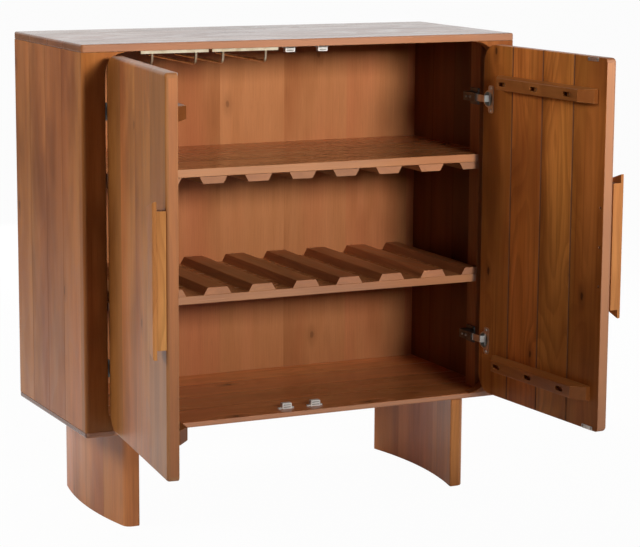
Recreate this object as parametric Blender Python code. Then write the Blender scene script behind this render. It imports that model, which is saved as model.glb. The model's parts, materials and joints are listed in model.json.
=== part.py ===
"""Two-door bar buffet cabinet in stained pine, standing on two bowed slab legs, with its doors open.

Metres, +Z up, front towards -Y. Pieces are laid out on the carcass frame: x = 0 is the middle, y = 0 the
front plane, z = 0 the floor. Each door is laid out on its own hinge frame, closed, and its empty turns it.
"""
import math

import bmesh
import bpy
from mathutils import Vector

# Carcass
WIDTH = 1.000
DEPTH = 0.430
LEG_HEIGHT = 0.207
CARCASS_HEIGHT = 0.809
TOP_THICKNESS = 0.016
BOTTOM_THICKNESS = 0.012
SIDE_THICKNESS = 0.020
BACK_THICKNESS = 0.012
STILE_WIDTH = 0.049
OPENING_RADIUS = 0.045
FILLET_TIP = 0.0012
POST_WIDTH = 0.043
POST_DEPTH = 0.042
POST_SETBACK = 0.012
CORNER_RADIUS = 0.008
REAR_CORNER = 0.006
EDGE_ROUND = 0.004
SMALL_ROUND = 0.0015
SEAM = 0.0003

# Shelves and slats
SHELF_THICKNESS = 0.0175
SHELF_SETBACK = 0.011
UPPER_SHELF_Z = 0.732
LOWER_SHELF_Z = 0.4635
SLAT_BASE = 0.0625
SLAT_CREST = 0.045
SLAT_HEIGHT = 0.0155
SLATS_EACH_SIDE = 4
SLAT_END_ROOM = 0.0238
UPPER_SLAT_SHIFT = 0.007
LOWER_SLAT_SHIFT = 0.016

# Legs
LEG_THICKNESS = 0.031
LEG_SETBACK = 0.026
LEG_BOW = 0.022
LEG_SIDE_INSET = 0.106
LEG_INNER_CORNER = 0.005
LEG_OUTER_CORNER = 0.014

# Doors
DOOR_THICKNESS = 0.024
HINGE_GAP = 0.0025
MEETING_GAP = 0.003
DOOR_END_GAP = 0.005
FREE_CORNER = 0.010
DOOR_ROUND = 0.006
DOOR_PLANKS = 4
PLANK_GROOVE = 0.004
LEFT_OPEN_DEG = 96.5
RIGHT_OPEN_DEG = 93.5

# Battens across the doors' inner faces
BATTEN_BASE = 0.030
BATTEN_CREST = 0.0255
BATTEN_THICKNESS = 0.0314
BATTEN_HINGE_INSET = 0.0684
BATTEN_FREE_INSET = 0.029
BATTEN_END_THICKNESS = 0.0093
BATTEN_END_SLOPE = 0.0276
UPPER_BATTEN_DROP = 0.0787
LOWER_BATTEN_RISE = 0.0777
SLOT_LENGTH = 0.027
SLOT_WIDTH = 0.0095
SLOT_DEPTH = 0.010
SLOT_FIRST = 0.0481
SLOT_LAST = 0.0661
SLOT_COUNT = 3

# Handles
GRIP_LENGTH = 0.298
GRIP_WIDTH = 0.042
GRIP_THICKNESS = 0.008
GRIP_END_RISE = 0.014
SPACER_LENGTH = 0.262
SPACER_WIDTH = 0.020
SPACER_THICKNESS = 0.018
HANDLE_SCREWS = 3
HANDLE_SCREW_PITCH = 0.081
HANDLE_SCREW_RADIUS = 0.0035
HANDLE_SCREW_DEPTH = 0.009

# Concealed cup hinges
UPPER_HINGE_DROP = 0.119
LOWER_HINGE_RISE = 0.118
CUP_RADIUS = 0.0175
CUP_WALL = 0.0015
CUP_DEPTH = 0.0125
CUP_EDGE = 0.0035
CUP_LIP = 0.001
FLANGE_THICKNESS = 0.0012
FLANGE_LENGTH = 0.060
FLANGE_WIDTH = 0.020
FLANGE_OFFSET = 0.0095
LINK_THICKNESS = 0.002
LINK_PLAY = 0.0007
LINK_REACH = 0.020
LINK_CLEARANCE = 0.0005
KNUCKLE_RADIUS = 0.0018
PIN_RADIUS = 0.002
PIN_OFFSET = 0.007
ARM_SHEET = 0.0015
ARM_HEIGHT = 0.019
ARM_LENGTH = 0.058
ARM_CHEEK = 0.0085
ARM_FORK = 0.005
ARM_TIP_CLEARANCE = 0.0011
PLATE_HEIGHT = 0.036
PLATE_LENGTH = 0.034
PLATE_THICKNESS = 0.003

# Magnetic catches and strike plates
CATCH_WIDTH = 0.022
CATCH_HEIGHT = 0.013
CATCH_DEPTH = 0.011
CATCH_EARS_WIDTH = 0.038
CATCH_EARS_DEPTH = 0.009
CATCH_EARS_THICKNESS = 0.0025
CATCH_GAP = 0.0005
TOP_LEFT_CATCH_X = 0.028
TOP_RIGHT_CATCH_X = 0.048
BOTTOM_LEFT_CATCH_X = 0.032
BOTTOM_RIGHT_CATCH_X = 0.036
STRIKE_WIDTH = 0.036
STRIKE_HEIGHT = 0.008
STRIKE_THICKNESS = 0.0015
STRIKE_INSET = 0.001

# Stemware racks under the top, in the left half
RACK_BAR_LENGTH = 0.150
RACK_BAR_DEPTH = 0.012
RACK_BAR_HEIGHT = 0.008
RACK_RAIL_SPACING = 0.097
RACK_RAIL_LENGTH = 0.270
RACK_DROP = 0.032
RACK_WIRE_RADIUS = 0.003
RACK_BEND = 0.012
RACK_SETBACK = 0.036
RACK_PITCH = 0.158
RACK_CATCH_GAP = 0.007

# Facet counts
ARC_STEPS = 8
CUP_SIDES = 28
WIRE_SIDES = 8

# Levels and planes that several pieces share
CARCASS_BOTTOM = LEG_HEIGHT
FLOOR_Z = CARCASS_BOTTOM + BOTTOM_THICKNESS
CARCASS_TOP = CARCASS_BOTTOM + CARCASS_HEIGHT
CEILING_Z = CARCASS_TOP - TOP_THICKNESS
HALF_WIDTH = WIDTH / 2
OPENING_X = HALF_WIDTH - STILE_WIDTH
SIDE_INNER_X = HALF_WIDTH - SIDE_THICKNESS
POST_X = SIDE_INNER_X - POST_WIDTH
POST_FRONT = DOOR_THICKNESS + POST_SETBACK
POST_BACK = POST_FRONT + POST_DEPTH
SLAT_PITCH = (POST_X - SLAT_END_ROOM) / SLATS_EACH_SIDE
LEG_INNER_REACH = HALF_WIDTH - LEG_SIDE_INSET
BACK_Y = DEPTH - BACK_THICKNESS
SHELF_FRONT = DOOR_THICKNESS + SHELF_SETBACK
HINGE_X = OPENING_X - HINGE_GAP
DOOR_WIDTH = HINGE_X - MEETING_GAP / 2
DOOR_BOTTOM = FLOOR_Z + DOOR_END_GAP
DOOR_TOP = CEILING_Z - DOOR_END_GAP
DOOR_MIDDLE = (DOOR_BOTTOM + DOOR_TOP) / 2
INNER_FACE = DOOR_THICKNESS + SEAM
CUP_CENTRE = CUP_EDGE + CUP_RADIUS
FLANGE_TOP = INNER_FACE + FLANGE_THICKNESS
LINK_LINE = FLANGE_TOP + LINK_CLEARANCE + LINK_THICKNESS / 2
LINK_HEIGHT = ARM_HEIGHT - 2 * ARM_SHEET - 2 * LINK_PLAY
BATTEN_LENGTH = DOOR_WIDTH - BATTEN_HINGE_INSET - BATTEN_FREE_INSET
SLOT_PITCH = (BATTEN_LENGTH - SLOT_FIRST - SLOT_LAST) / (SLOT_COUNT - 1)
HINGE_LEVELS = {"upper": DOOR_TOP - UPPER_HINGE_DROP, "lower": DOOR_BOTTOM + LOWER_HINGE_RISE}
BATTEN_LEVELS = {"upper": DOOR_TOP - UPPER_BATTEN_DROP, "lower": DOOR_BOTTOM + LOWER_BATTEN_RISE}
CATCH_FRONT = INNER_FACE + STRIKE_THICKNESS + CATCH_GAP
RACK_FIRST_X = -(TOP_LEFT_CATCH_X + CATCH_EARS_WIDTH / 2 + RACK_CATCH_GAP + RACK_BAR_LENGTH / 2)
SIDES = {"left": -1, "right": 1}

MATERIALS = {
    "pine": ((0.36, 0.17, 0.08), 0.55, 0.0),
    "pine_light": ((0.47, 0.24, 0.11), 0.55, 0.0),
    "pine_dark": ((0.27, 0.12, 0.06), 0.55, 0.0),
    "handle_pine": ((0.52, 0.24, 0.08), 0.5, 0.0),
    "brass": ((0.62, 0.42, 0.16), 0.3, 1.0),
    "steel": ((0.62, 0.62, 0.60), 0.3, 1.0),
    "catch_plastic": ((0.80, 0.78, 0.74), 0.45, 0.0),
}


def clear_scene():
    for obj in list(bpy.data.objects):
        bpy.data.objects.remove(obj, do_unlink=True)


def make_material(name):
    colour, roughness, metallic = MATERIALS[name]
    material = bpy.data.materials.new(name)
    material.use_nodes = True
    shader = material.node_tree.nodes["Principled BSDF"]
    shader.inputs["Base Color"].default_value = (*colour, 1.0)
    shader.inputs["Roughness"].default_value = roughness
    shader.inputs["Metallic"].default_value = metallic
    return material


def empty(name, location, turn_deg=0.0, parent=None):
    obj = bpy.data.objects.new(name, None)
    bpy.context.scene.collection.objects.link(obj)
    obj.location = location
    obj.rotation_euler = (0, 0, math.radians(turn_deg))
    obj.parent = parent
    return obj


def add_object(name, bm, material, parent, smooth_deg=40):
    """Turns a bmesh into a named object; a piece keeps a material of its own."""
    bmesh.ops.recalc_face_normals(bm, faces=bm.faces)
    mesh = bpy.data.meshes.new(name)
    bm.to_mesh(mesh)
    bm.free()
    mesh.shade_smooth()
    mesh.set_sharp_from_angle(angle=math.radians(smooth_deg))
    obj = bpy.data.objects.new(name, mesh)
    bpy.context.scene.collection.objects.link(obj)
    own = make_material(material)
    own.name = name + "_" + material
    mesh.materials.append(own)
    obj.parent = parent
    return obj


def add_tool(name, bm, parent):
    """A shape that only cuts or joins other pieces."""
    bmesh.ops.recalc_face_normals(bm, faces=bm.faces)
    mesh = bpy.data.meshes.new(name)
    bm.to_mesh(mesh)
    bm.free()
    obj = bpy.data.objects.new(name, mesh)
    bpy.context.scene.collection.objects.link(obj)
    obj.parent = parent
    obj.hide_render = True
    obj.display_type = "WIRE"
    return obj


def boolean(obj, tool, operation):
    modifier = obj.modifiers.new(operation.lower() + "_" + tool.name, "BOOLEAN")
    modifier.operation = operation
    modifier.solver = "EXACT"
    modifier.object = tool


def arc(cx, cy, radius, start_deg, end_deg, steps=ARC_STEPS):
    angles = [math.radians(start_deg + (end_deg - start_deg) * i / steps) for i in range(steps + 1)]
    return [(cx + radius * math.cos(a), cy + radius * math.sin(a)) for a in angles]


def rounded_rectangle(x0, x1, y0, y1, radii):
    """Outline with corner radii in the order low-low, high-low, high-high, low-high."""
    a, b, c, d = radii
    return (arc(x0 + a, y0 + a, a, 180, 270) + arc(x1 - b, y0 + b, b, 270, 360)
            + arc(x1 - c, y1 - c, c, 0, 90) + arc(x0 + d, y1 - d, d, 90, 180))


def prism(outline, low, high, place, bm=None):
    """Extrudes an outline from low to high; place(a, b, c) says which way the three axes point."""
    bm = bm or bmesh.new()
    rings = [[bm.verts.new(place(a, b, c)) for a, b in outline] for c in (low, high)]
    bm.faces.new(rings[0])
    bm.faces.new(rings[1])
    for i in range(len(outline)):
        j = (i + 1) % len(outline)
        bm.faces.new((rings[0][i], rings[0][j], rings[1][j], rings[1][i]))
    bmesh.ops.recalc_face_normals(bm, faces=bm.faces)
    return bm


def round_edges(bm, test, width, segments=2):
    """Rounds the edges whose two ends both pass the test."""
    edges = [e for e in bm.edges if all(test(v.co) for v in e.verts)]
    bmesh.ops.bevel(bm, geom=edges, offset=width, segments=segments, profile=0.5, affect="EDGES",
                    clamp_overlap=True)


def near(value, target):
    return abs(value - target) < 1e-5


def along_x(a, b, c):
    return Vector((c, a, b))


def along_y(a, b, c):
    return Vector((a, c, b))


def along_z(a, b, c):
    return Vector((a, b, c))


def box(x0, x1, y0, y1, z0, z1, bm=None):
    return prism([(x0, y0), (x1, y0), (x1, y1), (x0, y1)], z0, z1, along_z, bm)


def cylinder(centre, radius, low, high, place, sides, bm=None):
    outline = arc(centre[0], centre[1], radius, 0, 360, sides)[:-1]
    return prism(outline, low, high, place, bm)


def strip_outline(points, half):
    """Outline of a strip of constant thickness along a path, with mitred bends."""
    offsets = []
    for i, point in enumerate(points):
        before = Vector(points[max(i - 1, 0)])
        after = Vector(points[min(i + 1, len(points) - 1)])
        here = Vector(point)
        first = (here - before).normalized() if i else (after - here).normalized()
        last = (after - here).normalized() if i < len(points) - 1 else first
        normal = Vector((-first.y - last.y, first.x + last.x)).normalized()
        reach = half / max(normal.dot(Vector((-first.y, first.x))), 0.3)
        offsets.append((here + normal * reach, here - normal * reach))
    return [tuple(a) for a, b in offsets] + [tuple(b) for a, b in reversed(offsets)]


def sweep(points, radius, sides):
    """Round wire along a path that bends in one plane square to X."""
    bm = bmesh.new()
    rings = []
    for i, point in enumerate(points):
        before = points[max(i - 1, 0)]
        after = points[min(i + 1, len(points) - 1)]
        tangent = (after - before).normalized()
        across = Vector((1, 0, 0))
        up = tangent.cross(across)
        turns = [2 * math.pi * k / sides for k in range(sides)]
        rings.append([bm.verts.new(point + across * radius * math.cos(t) + up * radius * math.sin(t))
                      for t in turns])
    for first, second in zip(rings, rings[1:]):
        for k in range(sides):
            n = (k + 1) % sides
            bm.faces.new((first[k], first[n], second[n], second[k]))
    bm.faces.new(rings[0])
    bm.faces.new(rings[-1])
    return bm


def make_slabs(parent):
    """Top and bottom panels: full-width slabs with eased edges."""
    outline = rounded_rectangle(-HALF_WIDTH, HALF_WIDTH, 0, DEPTH,
                                (CORNER_RADIUS, CORNER_RADIUS, REAR_CORNER, REAR_CORNER))
    bm = prism(outline, CEILING_Z, CARCASS_TOP, along_z)
    round_edges(bm, lambda p: near(p.z, CARCASS_TOP), EDGE_ROUND, 3)
    round_edges(bm, lambda p: near(p.z, CEILING_Z), SMALL_ROUND)
    add_object("top_panel", bm, "pine_light", parent)
    bm = prism(outline, CARCASS_BOTTOM, FLOOR_Z, along_z)
    round_edges(bm, lambda p: near(p.z, CARCASS_BOTTOM), EDGE_ROUND)
    round_edges(bm, lambda p: near(p.z, FLOOR_Z), SMALL_ROUND)
    add_object("bottom_panel", bm, "pine_light", parent)


def make_sides(parent):
    """Side panels, hinge posts and the front stiles with the opening's rounded corners."""
    low = FLOOR_Z + SEAM
    high = CEILING_Z - SEAM
    for side, sign in SIDES.items():
        front = DOOR_THICKNESS + SEAM
        bm = box(*sorted((sign * SIDE_INNER_X, sign * HALF_WIDTH)), front, DEPTH, low, high)
        round_edges(bm, lambda p: near(p.x, sign * HALF_WIDTH) and near(p.y, DEPTH), EDGE_ROUND)
        add_object(side + "_side_panel", bm, "pine", parent)

        outer = sign * (SIDE_INNER_X - SEAM)
        bm = box(*sorted((sign * POST_X, outer)), POST_FRONT, POST_BACK, low, high)
        round_edges(bm, lambda p: near(p.x, sign * POST_X), SMALL_ROUND)
        add_object(side + "_post", bm, "pine_dark", parent)

        tip = OPENING_X - OPENING_RADIUS
        upper = high - FILLET_TIP - OPENING_RADIUS
        lower = low + FILLET_TIP + OPENING_RADIUS
        outline = [(HALF_WIDTH, low), (HALF_WIDTH, high), (tip, high)]
        outline += arc(tip, upper, OPENING_RADIUS, 90, 0)
        outline += arc(tip, lower, OPENING_RADIUS, 0, -90)
        outline += [(tip, low)]
        bm = prism([(sign * x, z) for x, z in outline], 0, DOOR_THICKNESS, along_y)
        round_edges(bm, lambda p: near(p.y, 0) and near(p.x, sign * HALF_WIDTH), CORNER_RADIUS, 4)
        round_edges(bm, lambda p: near(p.y, 0) and low + SEAM < p.z < high - SEAM
                    and abs(p.x) < OPENING_X + SEAM, SMALL_ROUND)
        add_object(side + "_stile", bm, "pine", parent)


def make_back(parent):
    """Flat back let in between the sides, flush with their rear edges."""
    half = SIDE_INNER_X - SEAM
    bm = box(-half, half, BACK_Y, DEPTH, FLOOR_Z + SEAM, CEILING_Z - SEAM)
    add_object("back_panel", bm, "pine_light", parent)


def make_shelves(parent):
    """Two shelves notched round the posts."""
    front_half = POST_X - SEAM
    back_half = SIDE_INNER_X - SEAM
    notch = POST_BACK + SEAM
    back = BACK_Y - SEAM
    right = [(front_half, SHELF_FRONT), (front_half, notch), (back_half, notch), (back_half, back)]
    outline = right + [(-x, y) for x, y in reversed(right)]
    for name, low in (("upper_shelf", UPPER_SHELF_Z), ("lower_shelf", LOWER_SHELF_Z)):
        bm = prism(outline, low, low + SHELF_THICKNESS, along_z)
        round_edges(bm, lambda p: near(p.y, SHELF_FRONT) and abs(p.x) <= front_half + SEAM, SMALL_ROUND)
        add_object(name, bm, "pine", parent)


def slat_outline(centre):
    """Section of one slat, crest up, standing on z = 0; the end slats are ripped to fit the posts."""
    limit = POST_X - SEAM
    base, crest = SLAT_BASE / 2, SLAT_CREST / 2
    outline = [(centre - base, 0), (centre - crest, SLAT_HEIGHT), (centre + crest, SLAT_HEIGHT), (centre + base, 0)]
    return [(min(max(x, -limit), limit), z) for x, z in outline]


def make_slats(parent):
    """Slats that hang under the upper shelf and stand on the lower one, running front to back."""
    for index, position in enumerate(range(-SLATS_EACH_SIDE, SLATS_EACH_SIDE + 1), start=1):
        for row, base, up, shift in (("upper", UPPER_SHELF_Z - SEAM, -1, UPPER_SLAT_SHIFT),
                                     ("lower", LOWER_SHELF_Z + SHELF_THICKNESS + SEAM, 1, LOWER_SLAT_SHIFT)):
            outline = slat_outline(position * SLAT_PITCH + shift)
            bm = prism([(x, base + up * z) for x, z in outline], SHELF_FRONT, BACK_Y - SEAM, along_y)
            round_edges(bm, lambda p: near(p.z, base + up * SLAT_HEIGHT), SMALL_ROUND)
            add_object("%s_slat_%d" % (row, index), bm, "pine", parent)


def make_legs(parent):
    """Two slab legs bowed outwards in plan."""
    half_chord = DEPTH / 2 - LEG_SETBACK
    inner_radius = (half_chord ** 2 + LEG_BOW ** 2) / (2 * LEG_BOW)
    outer_radius = inner_radius + LEG_THICKNESS
    centre = LEG_INNER_REACH - inner_radius
    inner = math.degrees(math.asin(half_chord / inner_radius))
    outer = math.degrees(math.asin(half_chord / outer_radius))
    outline = arc(centre, DEPTH / 2, inner_radius, -inner, inner, 2 * ARC_STEPS)
    outline += arc(centre, DEPTH / 2, outer_radius, outer, -outer, 2 * ARC_STEPS)
    for side, sign in SIDES.items():
        bm = prism([(sign * x, y) for x, y in outline], 0, LEG_HEIGHT - SEAM, along_z)
        ends = (LEG_SETBACK, DEPTH - LEG_SETBACK)
        tips = [v.co.x * sign for v in bm.verts if any(near(v.co.y, y) for y in ends)]
        for tip, radius in ((min(tips), LEG_INNER_CORNER), (max(tips), LEG_OUTER_CORNER)):
            corners = [e for e in bm.edges if all(near(v.co.x * sign, tip) for v in e.verts)
                       and any(near(e.verts[0].co.y, y) for y in ends)]
            bmesh.ops.bevel(bm, geom=corners, offset=radius, segments=5, profile=0.5, affect="EDGES")
        round_edges(bm, lambda p: near(p.z, 0), SMALL_ROUND)
        add_object(side + "_leg", bm, "pine", parent)


def make_racks(parent):
    """Wire stemware racks: two rails under a flat bar at each end."""
    top = CEILING_Z - SEAM
    rail_z = CEILING_Z - RACK_DROP
    front, back = RACK_SETBACK, RACK_SETBACK + RACK_RAIL_LENGTH
    stem = top - RACK_BAR_HEIGHT / 2
    for index in range(2):
        name = ("inner", "outer")[index] + "_stemware_rack"
        x = RACK_FIRST_X - index * RACK_PITCH
        half = RACK_BAR_LENGTH / 2
        ends = ((front - RACK_BAR_DEPTH / 2, front + RACK_BAR_DEPTH / 2),
                (back - RACK_BAR_DEPTH / 2, back + RACK_BAR_DEPTH / 2))
        bars = [box(x - half, x + half, *end, top - RACK_BAR_HEIGHT, top) for end in ends]
        rack = add_object(name, bars[0], "brass", parent)
        boolean(rack, add_tool(name + "_rear_bar", bars[1], parent), "UNION")
        for side, sign in SIDES.items():
            rail_x = x + sign * RACK_RAIL_SPACING / 2
            path = [(front, stem)] + arc(front + RACK_BEND, rail_z + RACK_BEND, RACK_BEND, 180, 270, 5)
            path += arc(back - RACK_BEND, rail_z + RACK_BEND, RACK_BEND, 270, 360, 5) + [(back, stem)]
            wire = sweep([Vector((rail_x, y, z)) for y, z in path], RACK_WIRE_RADIUS, WIRE_SIDES)
            boolean(rack, add_tool(name + "_" + side + "_rail", wire, parent), "UNION")


def make_catches(parent):
    """Magnetic catches under the top and on the floor, just behind the closed doors."""
    places = (("top_left_catch", -TOP_LEFT_CATCH_X, CEILING_Z - SEAM, -1),
              ("top_right_catch", TOP_RIGHT_CATCH_X, CEILING_Z - SEAM, -1),
              ("bottom_left_catch", -BOTTOM_LEFT_CATCH_X, FLOOR_Z + SEAM, 1),
              ("bottom_right_catch", BOTTOM_RIGHT_CATCH_X, FLOOR_Z + SEAM, 1))
    body, ears = CATCH_WIDTH / 2, CATCH_EARS_WIDTH / 2
    back = CATCH_FRONT + CATCH_DEPTH
    for name, x, z, up in places:
        crest = z + up * CATCH_HEIGHT
        bm = box(x - body, x + body, CATCH_FRONT, back, *sorted((z, crest)))
        round_edges(bm, lambda p: near(p.z, crest), SMALL_ROUND)
        catch = add_object(name, bm, "catch_plastic", parent)
        outline = rounded_rectangle(x - ears, x + ears, back - CATCH_EARS_DEPTH, back,
                                    (CATCH_EARS_DEPTH * 0.49,) * 4)
        bm = prism(outline, *sorted((z, z + up * CATCH_EARS_THICKNESS)), along_z)
        boolean(catch, add_tool(name + "_ears", bm, parent), "UNION")


def make_hinge_arm(side, level, z, parent):
    """Sheet-metal arm on its mounting plate, fixed to the post; its forked tip enters the closed door's cup."""
    sign = SIDES[side]

    def place(u, v, c):
        return Vector((sign * (HINGE_X - u), v, z + c))

    post = HINGE_X - POST_X + SEAM
    half = ARM_HEIGHT / 2
    web = CUP_CENTRE + math.sqrt((CUP_RADIUS - CUP_WALL) ** 2 - half ** 2) - ARM_TIP_CLEARANCE
    tip = DOOR_THICKNESS - CUP_DEPTH + 2 * ARM_SHEET
    foot = post + PLATE_THICKNESS
    rear = tip + ARM_LENGTH
    cheek = web - ARM_CHEEK
    outline = [(cheek, tip), (web, tip), (web, rear), (foot, rear), (foot, POST_FRONT), (cheek, tip + ARM_CHEEK)]
    name = "%s_%s_hinge_arm" % (side, level)
    arm = add_object(name, prism(outline, -half, half, place), "steel", parent)
    fork = tip + ARM_FORK
    hollow = [(-CUP_CENTRE, 0), (web + ARM_SHEET, 0), (web + ARM_SHEET, fork), (web - ARM_SHEET, fork),
              (web - ARM_SHEET, POST_FRONT), (-CUP_CENTRE, POST_FRONT)]
    inside = half - ARM_SHEET
    boolean(arm, add_tool(name + "_channel", prism(hollow, -inside, inside, place), parent), "DIFFERENCE")
    plate = [(post, POST_FRONT + ARM_SHEET), (foot + ARM_SHEET, POST_FRONT + ARM_SHEET),
             (foot + ARM_SHEET, POST_FRONT + PLATE_LENGTH), (post, POST_FRONT + PLATE_LENGTH)]
    tool = add_tool(name + "_plate", prism(plate, -PLATE_HEIGHT / 2, PLATE_HEIGHT / 2, place), parent)
    boolean(arm, tool, "UNION")


def make_hinge_cup(side, level, z, parent):
    """Cup, screw flange and link of one hinge, sunk in the door's inner face."""
    sign = SIDES[side]

    def place(u, v, c):
        return Vector((-sign * u, v, z + c))

    def through(u, c, v):
        return place(u, v, c)

    floor = DOOR_THICKNESS - CUP_DEPTH
    inner = CUP_RADIUS - CUP_WALL
    name = "%s_%s_hinge_cup" % (side, level)
    centre = (CUP_CENTRE, 0)
    bm = cylinder(centre, CUP_RADIUS, floor, FLANGE_TOP - SEAM, through, CUP_SIDES)
    cup = add_object(name, bm, "steel", parent)
    lip = cylinder(centre, CUP_RADIUS + CUP_LIP, INNER_FACE, FLANGE_TOP, through, CUP_SIDES)
    boolean(cup, add_tool(name + "_lip", lip, parent), "UNION")
    wing = CUP_CENTRE + FLANGE_OFFSET
    half = FLANGE_WIDTH / 2
    length = FLANGE_LENGTH / 2
    outline = rounded_rectangle(wing - half, wing + half, -length, length, (half * 0.6,) * 4)
    flange = prism(outline, INNER_FACE, FLANGE_TOP - SEAM / 2, through)
    boolean(cup, add_tool(name + "_flange", flange, parent), "UNION")
    hollow = cylinder(centre, inner, floor + CUP_WALL, FLANGE_TOP + CUP_WALL, through, CUP_SIDES)
    boolean(cup, add_tool(name + "_hollow", hollow, parent), "DIFFERENCE")
    pin_at = (CUP_CENTRE - PIN_OFFSET, floor + CUP_WALL + 2 * PIN_RADIUS)
    pin_half = math.sqrt((CUP_RADIUS - CUP_WALL / 2) ** 2 - PIN_OFFSET ** 2)
    pin = cylinder(pin_at, PIN_RADIUS, -pin_half, pin_half, place, WIRE_SIDES)
    boolean(cup, add_tool(name + "_pin", pin, parent), "UNION")
    path = [pin_at, (CUP_CENTRE - inner + 2 * LINK_THICKNESS, LINK_LINE), (-LINK_REACH, LINK_LINE)]
    link = prism(strip_outline(path, LINK_THICKNESS / 2), -LINK_HEIGHT / 2, LINK_HEIGHT / 2, place)
    boolean(cup, add_tool(name + "_link", link, parent), "UNION")
    knuckle_half = LINK_HEIGHT / 2 + SEAM
    knuckle = cylinder((-LINK_REACH, LINK_LINE), KNUCKLE_RADIUS, -knuckle_half, knuckle_half, place, WIRE_SIDES)
    boolean(cup, add_tool(name + "_knuckle", knuckle, parent), "UNION")


def make_door_panel(side, parent):
    """Planked door slab: rounded corners on the hinge side, bores for the cups and the handle's screws."""
    sign = SIDES[side]

    def through(u, c, v):
        return Vector((-sign * u, v, c))

    hinge_corner = OPENING_RADIUS - HINGE_GAP
    outline = rounded_rectangle(0, DOOR_WIDTH, DOOR_BOTTOM, DOOR_TOP,
                                (hinge_corner, FREE_CORNER, FREE_CORNER, hinge_corner))
    bm = prism(outline, 0, DOOR_THICKNESS, through)
    round_edges(bm, lambda p: near(p.y, 0), DOOR_ROUND, 4)
    round_edges(bm, lambda p: near(p.y, DOOR_THICKNESS), SMALL_ROUND)
    door = add_object(side + "_door_panel", bm, "pine", parent)
    cuts = bmesh.new()
    beyond = DOOR_THICKNESS + PLANK_GROOVE
    for i in range(1, DOOR_PLANKS):
        u = DOOR_WIDTH * i / DOOR_PLANKS
        groove = [(u, DOOR_THICKNESS - PLANK_GROOVE / 2), (u + 3 * PLANK_GROOVE / 2, beyond),
                  (u - 3 * PLANK_GROOVE / 2, beyond)]
        prism([(-sign * a, b) for a, b in groove], DOOR_BOTTOM - FREE_CORNER, DOOR_TOP + FREE_CORNER, along_z, cuts)
    for z in HINGE_LEVELS.values():
        cylinder((CUP_CENTRE, z), CUP_RADIUS + SEAM, DOOR_THICKNESS - CUP_DEPTH - SEAM, beyond, through,
                 CUP_SIDES, cuts)
    for i in range(HANDLE_SCREWS):
        z = DOOR_MIDDLE + (i - (HANDLE_SCREWS - 1) / 2) * HANDLE_SCREW_PITCH
        cylinder((DOOR_WIDTH - SPACER_WIDTH / 2, z), HANDLE_SCREW_RADIUS, DOOR_THICKNESS - HANDLE_SCREW_DEPTH,
                 beyond, through, WIRE_SIDES, cuts)
    boolean(door, add_tool(side + "_door_cuts", cuts, parent), "DIFFERENCE")


def make_batten(side, level, z, parent):
    """Bevelled batten across the planks, sloped off at both ends, with slotted holes that let the wood move."""
    sign = SIDES[side]
    start, end = BATTEN_HINGE_INSET, BATTEN_HINGE_INSET + BATTEN_LENGTH
    base, crest = BATTEN_BASE / 2, BATTEN_CREST / 2
    crest_y = INNER_FACE + BATTEN_THICKNESS
    outline = [(INNER_FACE, z - base), (INNER_FACE, z + base), (crest_y, z + crest), (crest_y, z - crest)]
    bm = prism(outline, -sign * start, -sign * end, along_x)
    round_edges(bm, lambda p: near(p.y, crest_y), SMALL_ROUND)
    batten = add_object("%s_%s_batten" % (side, level), bm, "pine", parent)
    cuts = bmesh.new()
    slope = BATTEN_END_SLOPE / (BATTEN_THICKNESS - BATTEN_END_THICKNESS)
    above = BATTEN_THICKNESS
    for end_u, inward in ((start, 1), (end, -1)):
        low = (end_u, INNER_FACE + BATTEN_END_THICKNESS)
        high = (end_u + inward * slope * above, INNER_FACE + BATTEN_END_THICKNESS + above)
        beyond = end_u - inward * above
        wedge = [low, high, (beyond, high[1]), (beyond, low[1])]
        prism([(-sign * a, b) for a, b in wedge], z - BATTEN_BASE, z + BATTEN_BASE, along_z, cuts)
    round_end = SLOT_WIDTH / 2
    for i in range(SLOT_COUNT):
        u = start + SLOT_FIRST + i * SLOT_PITCH
        outline = rounded_rectangle(u - SLOT_LENGTH / 2, u + SLOT_LENGTH / 2, z - round_end, z + round_end,
                                    (round_end * 0.98,) * 4)
        prism([(-sign * a, b) for a, b in outline], crest_y - SLOT_DEPTH, crest_y + SMALL_ROUND, along_y, cuts)
    boolean(batten, add_tool("%s_%s_slots" % (side, level), cuts, parent), "DIFFERENCE")


def make_handle(side, parent):
    """Grip board held off the door by a shorter spacer along the free edge, leaving a finger gap behind it."""
    sign = SIDES[side]
    free = DOOR_WIDTH
    spacer = [(free - SPACER_WIDTH, DOOR_MIDDLE - SPACER_LENGTH / 2), (free, DOOR_MIDDLE - SPACER_LENGTH / 2),
              (free, DOOR_MIDDLE + SPACER_LENGTH / 2), (free - SPACER_WIDTH, DOOR_MIDDLE + SPACER_LENGTH / 2)]
    bm = prism([(-sign * u, z) for u, z in spacer], -SPACER_THICKNESS, -SEAM, along_y)
    add_object(side + "_handle_spacer", bm, "handle_pine", parent)
    half = GRIP_LENGTH / 2
    short = half - GRIP_END_RISE
    outline = [(free - GRIP_WIDTH, DOOR_MIDDLE - short), (free, DOOR_MIDDLE - half),
               (free, DOOR_MIDDLE + half), (free - GRIP_WIDTH, DOOR_MIDDLE + short)]
    back = -SPACER_THICKNESS - SEAM
    front = back - GRIP_THICKNESS
    bm = prism([(-sign * u, z) for u, z in outline], front, back, along_y)
    round_edges(bm, lambda p: near(p.y, front), 2 * SMALL_ROUND, 3)
    add_object(side + "_handle_grip", bm, "handle_pine", parent)


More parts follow.
